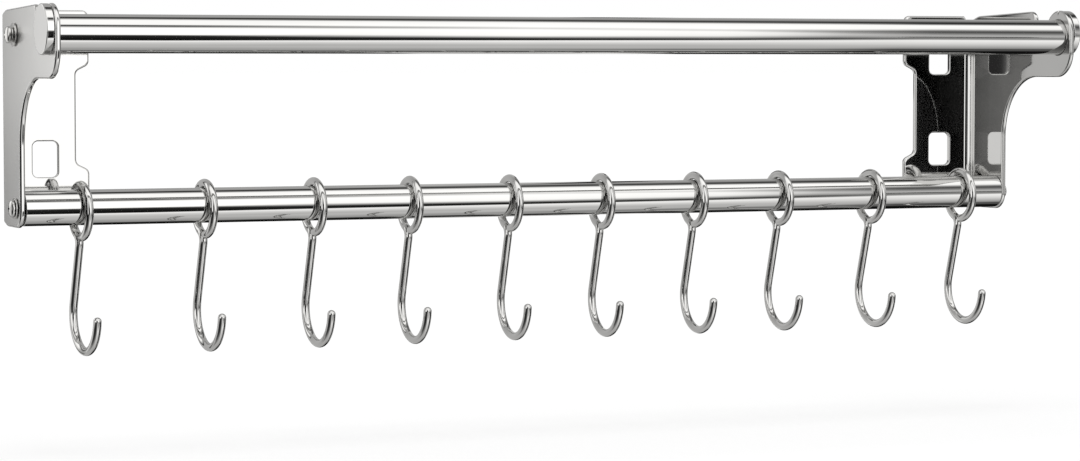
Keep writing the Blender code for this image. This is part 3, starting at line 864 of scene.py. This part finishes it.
def nut_turning():
    """Half section of a nut's bore and of the cones that turn down its corners at both faces."""
    flat = NUT_ACROSS_FLATS / 2
    corner = flat / math.cos(math.pi / 6)
    slope = (corner - flat) * NUT_CHAMFER_SHARE
    lead = THREAD_DEPTH
    return [(0.0, SCREW_HOLE + lead), (0.0, flat), (slope, corner + SEAT_GAP),
            (NUT_THICKNESS - slope, corner + SEAT_GAP), (NUT_THICKNESS, flat),
            (NUT_THICKNESS, SCREW_HOLE + lead), (NUT_THICKNESS - lead, SCREW_HOLE), (lead, SCREW_HOLE)]


def nut(name, side, seat, height, material):
    """Hexagon nut against the cheek's inner face."""
    hexagon = loose_object(name, mesh_from(name, hexagon_prism()))
    turning = mesh_from(name + "_turning", lathe(nut_turning(), 2 * SMALL_SIDES))
    bm = bmesh.new()
    bm.from_mesh(combined(hexagon, loose_object(name + "_turning", turning), "INTERSECT", name))
    at_side(bm, side, seat - NUT_THICKNESS, -HOOK_RAIL_REACH, height)
    item = piece(name + "_hexagon", mesh_from(name, bm), material, "rack", "fastener_steel", name)
    return keep_corners(item, NUT_SHARP_OVER)


def lower_fixing(side_name, side, tree, material):
    """The screw through the cheek into the hook rail's plug."""
    washer_seat = OUTER_HALF + SEAT_GAP
    head_seat = washer_seat + LOWER_WASHER[1] + SEAT_GAP
    plain_washer(side_name + "_lower_washer", side, washer_seat, LOWER_WASHER, 0.0, material)
    length = HEAD_RIM + head_seat - INNER_HALF + SEAT_GAP + THREAD_IN_PLUG
    screw(side_name + "_lower_screw", side, head_seat, length, 0.0, tree, material)


def upper_fixing(side_name, side, tree, material):
    """The screw near the wall, with a plain and a split washer outside the cheek and a nut inside it."""
    washer_seat = OUTER_HALF + SEAT_GAP
    lock_seat = washer_seat + UPPER_WASHER[1] + SEAT_GAP
    head_seat = lock_seat + LOCK_WASHER[1] + SEAT_GAP
    nut_seat = INNER_HALF - SEAT_GAP
    plain_washer(side_name + "_upper_washer", side, washer_seat, UPPER_WASHER, TOWEL_RISE, material)
    lock_washer(side_name + "_lock_washer", side, lock_seat, TOWEL_RISE, material)
    nut(side_name + "_upper_nut", side, nut_seat, TOWEL_RISE, material)
    length = HEAD_RIM + head_seat - nut_seat + NUT_THICKNESS + THREAD_PAST_NUT
    screw(side_name + "_upper_screw", side, head_seat, length, TOWEL_RISE, tree, material)


# Hooks

def wire_route():
    """The middle line of one hook as (forward, up) points about the eye's centre."""
    eye = HOOK_RAIL_RADIUS + EYE_SLACK + WIRE_DIAMETER / 2
    leaves = math.radians(EYE_LEAVES_AT)
    lean = math.radians(SHANK_LEAN)
    neck_centre = Vector((math.cos(leaves), math.sin(leaves))) * (eye + NECK_RADIUS)
    route = arc_points((0.0, 0.0), eye, EYE_OPEN_FROM, EYE_LEAVES_AT, WIRE_STEP)
    route += arc_points(neck_centre, NECK_RADIUS, EYE_LEAVES_AT - 180.0, -SHANK_LEAN, WIRE_STEP)[1:]
    shank_end = route[-1] + Vector((-math.sin(lean), -math.cos(lean))) * SHANK_LENGTH
    bowl_centre = shank_end + Vector((math.cos(lean), -math.sin(lean))) * BOWL_RADIUS
    return route + arc_points(bowl_centre, BOWL_RADIUS, 180.0 - SHANK_LEAN, BOWL_ENDS_AT, WIRE_STEP)


def balanced(route):
    """Turn the hook about its eye until its middle of mass hangs straight below the rail."""
    weight = 0.0
    moment = Vector((0.0, 0.0))
    for start, end in zip(route, route[1:]):
        length = (end - start).length
        weight += length
        moment += (start + end) / 2 * length
    middle = moment / weight
    turn = -math.atan2(middle.x, -middle.y)
    sine, cosine = math.sin(turn), math.cos(turn)
    return [Vector((x * cosine - y * sine, x * sine + y * cosine)) for x, y in route]


def domed(route):
    """Carry the wire a little past both its ends in narrowing steps, so that its ends are round."""
    radius = WIRE_DIAMETER / 2
    first = (route[0] - route[1]).normalized()
    last = (route[-1] - route[-2]).normalized()
    points = [(point, 1.0) for point in route]
    for step in range(1, END_STEPS):
        angle = math.pi / 2 * step / END_STEPS
        reach = radius * math.sin(angle)
        points.insert(0, (route[0] + first * reach, math.cos(angle)))
        points.append((route[-1] + last * reach, math.cos(angle)))
    return points


def route_mesh(points, place, turn):
    """The hook's route as a chain of edges at its place on the rail, with the wire's width at each."""
    drop = EYE_SLACK - SEAT_GAP
    sine, cosine = math.sin(math.radians(turn)), math.cos(math.radians(turn))
    verts = [(place[0] + point.x * sine, place[1] - point.x * cosine, place[2] + point.y - drop)
             for point, share in points]
    mesh = bpy.data.meshes.new("hook_route")
    mesh.from_pydata(verts, [(index, index + 1) for index in range(len(verts) - 1)], [])
    width = mesh.attributes.new("width", "FLOAT", "POINT")
    for entry, (point, share) in zip(width.data, points):
        entry.value = share
    return mesh


def hooks(material):
    tree = bent_wire_tree()
    points = domed(balanced(wire_route()))
    for joint, turn in zip(frame["joints"], HOOK_TURNS):
        name = joint["child"]
        values = {"Wire Diameter": WIRE_DIAMETER, "Sides": WIRE_SIDES, "Material": material}
        mesh = run_tree(tree, name, route_mesh(points, joint["pos_m"], turn), values)
        item = loose_object(name + "_wire", mesh)
        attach(item, name)
        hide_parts(name)


# Studio

def background_rays(tree):
    """A factor that is 1 for the rays that show a background: seen, mirrored or through glass."""
    rays = node(tree, "ShaderNodeLightPath", (-900, 300)).outputs
    shown = math_node(tree, "MAXIMUM", (-650, 300), rays["Is Camera Ray"], rays["Is Glossy Ray"])
    return math_node(tree, "MAXIMUM", (-450, 300), shown, rays["Is Transmission Ray"])


def white_world():
    """A room that is white to look at and lights the rack softly."""
    world = bpy.data.worlds.new("white_room")
    bpy.context.scene.world = world
    world.use_nodes = True
    tree = world.node_tree
    tree.nodes.clear()
    white = node(tree, "ShaderNodeBackground", (-200, 100), {"Color": WHITE})
    soft = node(tree, "ShaderNodeBackground", (-200, -100), {"Color": WHITE, "Strength": ROOM_LIGHT})
    mix = node(tree, "ShaderNodeMixShader", (50, 0), {
        "Fac": background_rays(tree), 1: soft.outputs["Background"], 2: white.outputs["Background"]})
    node(tree, "ShaderNodeOutputWorld", (250, 0), {"Surface": mix.outputs["Shader"]})


def floor_top_up(tree):
    """What the floor lacks to full white, which grows with the distance from the soft box overhead."""
    place = node(tree, "ShaderNodeTexCoord", (-1700, -200)).outputs["Object"]
    split = node(tree, "ShaderNodeSeparateXYZ", (-1500, -200), {"Vector": place}).outputs
    height = TOP_BOX_PLACE[2] - FLOOR_HEIGHT
    spread = 1.0
    for axis, centre, y in (("X", TOP_BOX_PLACE[0], -100), ("Y", TOP_BOX_PLACE[1], -300)):
        away = math_node(tree, "MULTIPLY_ADD", (-1300, y), split[axis], 1 / height, -centre / height)
        spread = math_node(tree, "MULTIPLY_ADD", (-1000, y), away, away, spread)
    fall = math_node(tree, "POWER", (-700, -200), spread, -2.0)
    below_box = FLOOR_ALBEDO * TOP_BOX_POWER / (math.pi * height) ** 2
    far_from_box = FULL_WHITE - FLOOR_ALBEDO * ROOM_LIGHT
    return math_node(tree, "MULTIPLY_ADD", (-500, -200), fall, -below_box, far_from_box)


def floor_paint():
    """Matt white, topped up to full white for the camera, so that only the shadow shows."""
    material, tree = new_material("floor_paint")
    tree.nodes.clear()
    seen = node(tree, "ShaderNodeLightPath", (-600, 300)).outputs["Is Camera Ray"]
    amount = math_node(tree, "MULTIPLY", (-450, 0), seen, floor_top_up(tree))
    matt = node(tree, "ShaderNodeBsdfDiffuse", (-300, 100), {"Color": FLOOR_COLOUR})
    top_up = node(tree, "ShaderNodeEmission", (-300, -100), {"Color": WHITE, "Strength": amount})
    both = node(tree, "ShaderNodeAddShader", (0, 0), {
        0: matt.outputs["BSDF"], 1: top_up.outputs["Emission"]})
    node(tree, "ShaderNodeOutputMaterial", (200, 0), {"Surface": both.outputs["Shader"]})
    return material


def floor():
    bm = bmesh.new()
    bmesh.ops.create_grid(bm, x_segments=1, y_segments=1, size=FLOOR_HALF)
    bmesh.ops.translate(bm, verts=bm.verts, vec=(0.0, 0.0, FLOOR_HEIGHT))
    item = loose_object("floor", mesh_from("floor", bm), floor_paint())
    item.visible_glossy = False


# The tent that only the metal sees. Angles run round the rack's length: -180 lies behind, -90 below, 0 in
# front, 90 above and 180 behind again. A profile is a brightness at each of its angles.

# Banded profiles, which stripe the rails
TENT_LEFT = (
    (-180, 0.30), (-165, 0.02), (-138, 0.00), (-122, 0.02), (-113, 0.42), (-97, 0.50), (-80, 0.70),
    (-66, 0.74), (-52, 0.92), (-41, 1.40), (-37, 0.00), (-10, 0.03), (-6.4, 0.40), (-3.3, 1.60),
    (3, 1.75), (33, 1.70), (42, 0.50), (46, 0.04), (50, 0.06), (57, 1.50), (87, 1.50), (97, 0.45),
    (104, 0.02), (112, 0.04), (119, 0.52), (150, 0.45), (180, 0.40),
)
TENT_NEAR_LEFT = (
    (-180, 0.30), (-165, 0.02), (-140, 0.00), (-119, 0.02), (-111, 0.45), (-96, 0.55), (-78, 0.72),
    (-64, 0.66), (-50, 0.92), (-37, 1.40), (-32, 0.00), (-17, 0.03), (-11, 0.35), (-5, 0.80), (2, 1.50),
    (33, 1.60), (42, 0.75), (46, 0.30), (50, 0.75), (58, 1.60), (87, 1.45), (95, 0.45), (103, 0.02),
    (111, 0.06), (120, 0.50), (150, 0.50), (180, 0.40),
)
TENT_MIDDLE = (
    (-180, 0.30), (-163, 0.02), (-138, 0.00), (-118, 0.04), (-108, 0.50), (-95, 0.44), (-78, 0.72),
    (-62, 0.68), (-48, 0.98), (-33, 1.40), (-28, 0.00), (-19, 0.02), (-13, 0.35), (-8, 0.85),
    (-1, 1.50), (33, 1.60), (40, 1.30), (45, 1.00), (50, 1.40), (57, 1.60), (85, 1.45), (95, 0.40),
    (102, 0.02), (111, 0.12), (122, 0.45), (148, 0.50), (180, 0.40),
)
TENT_PAST_MIDDLE = (
    (-180, 0.30), (-160, 0.02), (-136, 0.00), (-117, 0.05), (-107, 0.60), (-96, 0.18), (-80, 0.66),
    (-62, 0.68), (-46, 0.92), (-29, 1.38), (-23, 0.08), (-17, 0.04), (-11, 0.38), (-4, 0.85), (3, 1.35),
    (28, 1.50), (35, 1.10), (41, 1.20), (47, 1.55), (55, 1.60), (83, 1.45), (92, 0.45), (101, 0.02),
    (110, 0.12), (120, 0.40), (148, 0.50), (180, 0.40),
)
TENT_NEAR_RIGHT = (
    (-180, 0.30), (-160, 0.02), (-134, 0.00), (-116, 0.06), (-105, 0.42), (-95, 0.18), (-80, 0.60),
    (-60, 0.74), (-44, 0.98), (-26, 1.36), (-19, 0.38), (-14, 0.06), (-8, 0.20), (-2, 0.46), (5, 0.68),
    (13, 0.86), (25, 0.54), (33, 0.34), (41, 0.80), (50, 1.50), (80, 1.50), (90, 0.45), (100, 0.02),
    (109, 0.10), (119, 0.36), (148, 0.50), (180, 0.40),
)
TENT_RIGHT = (
    (-180, 0.20), (-160, 0.05), (-130, 0.00), (-108, 0.02), (-100, 0.15), (-91, 0.06), (-78, 0.45),
    (-60, 0.74), (-42, 1.06), (-22, 1.34), (-16, 0.60), (-10, 0.24), (-6, 0.38), (-1, 0.55), (4, 0.66),
    (10, 0.60), (22, 0.26), (33, 0.08), (43, 0.42), (54, 1.40), (77, 1.55), (88, 0.30), (98, 0.00),
    (109, 0.10), (119, 0.32), (148, 0.50), (180, 0.40),
)
TENT_PAST_RIGHT = ((-180, 0.42), (-160, 0.40), (-128, 0.32)) + TENT_RIGHT[3:]

# Quiet profiles, for what the brackets, caps and hooks mirror beyond the bands
FAR_LEFT = (
    (-180, 0.52), (-140, 0.50), (-128, 0.08), (-90, 0.05), (-60, 0.02), (-17, 0.02), (-11, 1.40),
    (36, 1.40), (92, 1.30), (104, 0.50), (114, 0.50), (140, 0.50), (180, 0.52),
)
DARK_LEFT = (
    (-180, 0.56), (-140, 0.52), (-110, 0.20), (-60, 0.03), (-17, 0.05), (-11, 0.01), (11, 0.01),
    (40, 0.90), (92, 1.30), (104, 0.50), (114, 0.50), (140, 0.52), (180, 0.56),
)
GREY_LEFT = (
    (-180, 0.55), (-140, 0.54), (-110, 0.30), (-60, 0.12), (-17, 0.14), (-9, 0.31), (9, 0.31),
    (40, 0.90), (92, 1.30), (104, 0.50), (114, 0.50), (140, 0.54), (180, 0.55),
)
BLACK_CAMERA = (
    (-180, 0.58), (-140, 0.55), (-105, 0.60), (-60, 0.30), (-17, 0.30), (-11, 0.00), (11, 0.00),
    (17, 0.35), (50, 1.40), (92, 1.40), (104, 0.45), (114, 0.45), (140, 0.55), (180, 0.58),
)
BRIGHT_BELOW = (
    (-180, 0.58), (-140, 0.55), (-105, 0.52), (-60, 0.85), (-34, 1.00), (-17, 0.60), (-11, 0.00),
    (11, 0.00), (17, 0.50), (50, 1.40), (92, 1.40), (104, 0.45), (114, 0.45), (140, 0.55), (180, 0.58),
)
WHITE_FRONT = (
    (-180, 0.58), (-140, 0.55), (-105, 0.52), (-60, 0.90), (-36, 1.30), (-17, 1.20), (11, 1.50),
    (60, 1.50), (92, 1.40), (104, 0.45), (114, 0.45), (140, 0.55), (180, 0.58),
)
PALE_RIGHT = (
    (-180, 0.45), (-128, 0.40), (-112, 0.04), (-60, 0.04), (-20, 0.10), (-11, 0.90), (30, 1.00),
    (92, 1.20), (104, 0.05), (114, 0.10), (140, 0.35), (180, 0.45),
)
DARK_RIGHT = (
    (-180, 0.40), (-128, 0.35), (-112, 0.03), (-17, 0.02), (-11, 0.20), (30, 0.30), (60, 1.00),
    (92, 1.00), (104, 0.03), (140, 0.30), (180, 0.40),
)

# The angles of a quiet station, as many as a banded profile has
QUIET_ANGLES = (
    -180, -164, -150, -136, -122, -110, -98, -84, -70, -56, -44, -34, -24, -17, -13, -9, 0, 9, 13, 20, 40,
    62, 90, 104, 114, 146, 180,
)


def read_profile(profile, angle):
    """The brightness of a profile at an angle, on straight lines between its points."""
    for (low, below), (high, above) in zip(profile, profile[1:]):
        if angle <= high:
            return below + (above - below) * (angle - low) / (high - low)
    return profile[-1][1]


def quiet(profile):
    """A quiet profile read at the quiet station's angles."""
    return tuple((angle, read_profile(profile, angle)) for angle in QUIET_ANGLES)


# Stations along the tent: a profile and each x where it holds. The brightness slides from one x to the next.
TENT_STATIONS = (
    (quiet(FAR_LEFT), -TENT_HALF_LENGTH, -6.70),
    (quiet(DARK_LEFT), -6.20, -4.20),
    (quiet(GREY_LEFT), -4.00, -3.36),
    (quiet(BLACK_CAMERA), -3.32, -1.40),
    (quiet(BRIGHT_BELOW), -0.90, -0.60),
    (quiet(WHITE_FRONT), -0.40, 0.60),
    (TENT_LEFT, 1.15, 1.55),
    (TENT_NEAR_LEFT, 1.95),
    (TENT_MIDDLE, 2.50),
    (TENT_PAST_MIDDLE, 3.05),
    (TENT_NEAR_RIGHT, 3.38),
    (TENT_RIGHT, 3.64, 4.15),
    (TENT_PAST_RIGHT, 4.60),
    (quiet(PALE_RIGHT), 5.10, 9.00),
    (quiet(DARK_RIGHT), 12.0, TENT_HALF_LENGTH),
)

# Cards behind the cheeks, which the cheeks mirror: columns of (x, brightness) and each height's share of it
CHEEK_CARD_Y = 0.20
LEFT_CARD_COLUMNS = (
    (-0.6000, 1.45), (-0.4120, 1.45), (-0.3970, 0.95), (-0.3920, 0.89), (-0.3830, 0.88), (-0.3770, 0.85),
    (-0.3610, 0.52), (-0.3545, 0.30), (-0.3480, 0.16), (-0.3250, 0.05),
)
LEFT_CARD_HEIGHTS = ((-0.20, 0.55), (0.01, 0.72), (0.05, 0.96), (0.08, 1.0), (0.30, 0.96))
RIGHT_CARD_LOW = ((0.02, 0.62), (0.13, 0.62), (0.15, 0.92), (0.20, 0.92))
RIGHT_CARD_HIGH = ((0.02, 0.62), (0.13, 0.62), (0.15, 0.03), (0.20, 0.03))
RIGHT_CARD_ROWS = (
    (-0.20, RIGHT_CARD_LOW), (0.050, RIGHT_CARD_LOW), (0.060, RIGHT_CARD_HIGH), (0.30, RIGHT_CARD_HIGH),
)

# Dark cards in front: one that the right wall plate mirrors, and one beside the left cheek's front edge
PLATE_CARD_X = (3.46, 3.86)
PLATE_CARD_Y = -5.80
PLATE_CARD_Z = (-0.29, 0.13)
PLATE_CARD_GLOW = 0.002
EDGE_CARD_X = -0.325
EDGE_CARD_Y = (-0.078, -0.036)
EDGE_CARD_Z = (-0.03, 0.056)
EDGE_CARD_GLOW = 0.005


def glow_cloth():
    """Cloth that shines as brightly as its glow attribute says."""
    material, tree = new_material("glow_cloth")
    material.cycles.emission_sampling = "NONE"
    tree.nodes.clear()
    amount = node(tree, "ShaderNodeAttribute", (-300, 0), attribute_name="glow").outputs["Fac"]
    glow = node(tree, "ShaderNodeEmission", (0, 0), {"Color": WARM_WHITE, "Strength": amount})
    node(tree, "ShaderNodeOutputMaterial", (200, 0), {"Surface": glow.outputs["Emission"]})
    return material


def glow_sheet(name, rows, material):
    """Stage cloth through rows of (x, y, z, brightness) corners, which only the metal sees."""
    bm = bmesh.new()
    layer = bm.verts.layers.float.new("glow")
    grid = []
    for row in rows:
        grid.append([bm.verts.new(corner[:3]) for corner in row])
        for vert, corner in zip(grid[-1], row):
            vert[layer] = corner[3]
    for lower, upper in zip(grid, grid[1:]):
        for corners in zip(lower, lower[1:], upper[1:], upper):
            bm.faces.new(corners)
    mesh = bpy.data.meshes.new(name)
    bm.to_mesh(mesh)
    bm.free()
    item = loose_object(name, mesh, material)
    item.visible_camera = False
    item.visible_diffuse = False
    item.visible_shadow = False


def tent_ring(x, profile):
    """The tent's corners round the rack's length at a station."""
    turns = [(math.radians(angle), glow) for angle, glow in profile]
    return [(x, -TENT_RADIUS * math.cos(turn), TENT_RADIUS * math.sin(turn), glow) for turn, glow in turns]


def tent_end(x, glow):
    """A ring drawn together to a point, which closes an end of the tent."""
    return [(x, 0.0, 0.0, glow)] * len(QUIET_ANGLES)


def tent(material):
    """A long round tent about the rack, closed at both ends."""
    rings = [tent_ring(x, profile) for profile, *places in TENT_STATIONS for x in places]
    first = tent_end(-TENT_HALF_LENGTH, TENT_LEFT_END_GLOW)
    last = tent_end(TENT_HALF_LENGTH, TENT_RIGHT_END_GLOW)
    glow_sheet("studio_tent", [first] + rings + [last], material)


def cards(material):
    """The cards behind the cheeks and the dark cards in front."""
    left = [[(x, CHEEK_CARD_Y, z, glow * share) for x, glow in LEFT_CARD_COLUMNS]
            for z, share in LEFT_CARD_HEIGHTS]
    right = [[(x, CHEEK_CARD_Y, z, glow) for x, glow in columns] for z, columns in RIGHT_CARD_ROWS]
    plate = [[(x, PLATE_CARD_Y, z, PLATE_CARD_GLOW) for x in PLATE_CARD_X] for z in PLATE_CARD_Z]
    edge = [[(EDGE_CARD_X, y, z, EDGE_CARD_GLOW) for y in EDGE_CARD_Y] for z in EDGE_CARD_Z]
    glow_sheet("left_cheek_card", left, material)
    glow_sheet("right_cheek_card", right, material)
    glow_sheet("right_plate_card", plate, material)
    glow_sheet("left_edge_card", edge, material)


def soft_box():
    """The soft box overhead, which throws the rack's faint shadow."""
    data = bpy.data.lights.new("soft_box", "AREA")
    data.shape = "SQUARE"
    data.size = TOP_BOX_SIZE
    data.energy = TOP_BOX_POWER
    item = bpy.data.objects.new("soft_box", data)
    item.location = TOP_BOX_PLACE
    item.visible_camera = False
    item.visible_glossy = False
    bpy.context.scene.collection.objects.link(item)


def studio():
    white_world()
    floor()
    cloth = glow_cloth()
    tent(cloth)
    cards(cloth)
    soft_box()


def camera():
    """The photograph's camera."""
    data = bpy.data.cameras.new("camera")
    data.lens = CAMERA_LENS
    data.sensor_width = SENSOR_WIDTH
    data.clip_start = CAMERA_CLIP_START
    item = bpy.data.objects.new("camera", data)
    item.location = CAMERA_PLACE
    item.rotation_euler = (math.radians(90.0 + CAMERA_PITCH), 0.0, math.radians(CAMERA_YAW))
    bpy.context.scene.collection.objects.link(item)
    bpy.context.scene.camera = item


def build():
    bpy.context.scene.view_settings.view_transform = "Standard"
    camera()
    studio()
    sheet, tube, cap, fastener, plug = sheet_steel(), tube_steel(), cap_steel(), screw_steel(), plug_steel()
    rail("towel_rail", TOWEL_LOW, TOWEL_HIGH, TOWEL_RADIUS, tube)
    rail("hook_rail", HOOK_LOW, HOOK_HIGH, HOOK_RAIL_RADIUS, tube)
    threads = thread_tree()
    for side_name, side in (("left", -1), ("right", 1)):
        bracket(side_name, side, sheet)
        end_cap(side_name, side, cap)
        rail_plug(side_name, side, plug)
        lower_fixing(side_name, side, threads, fastener)
        upper_fixing(side_name, side, threads, fastener)
    hooks(wire_steel())


build()
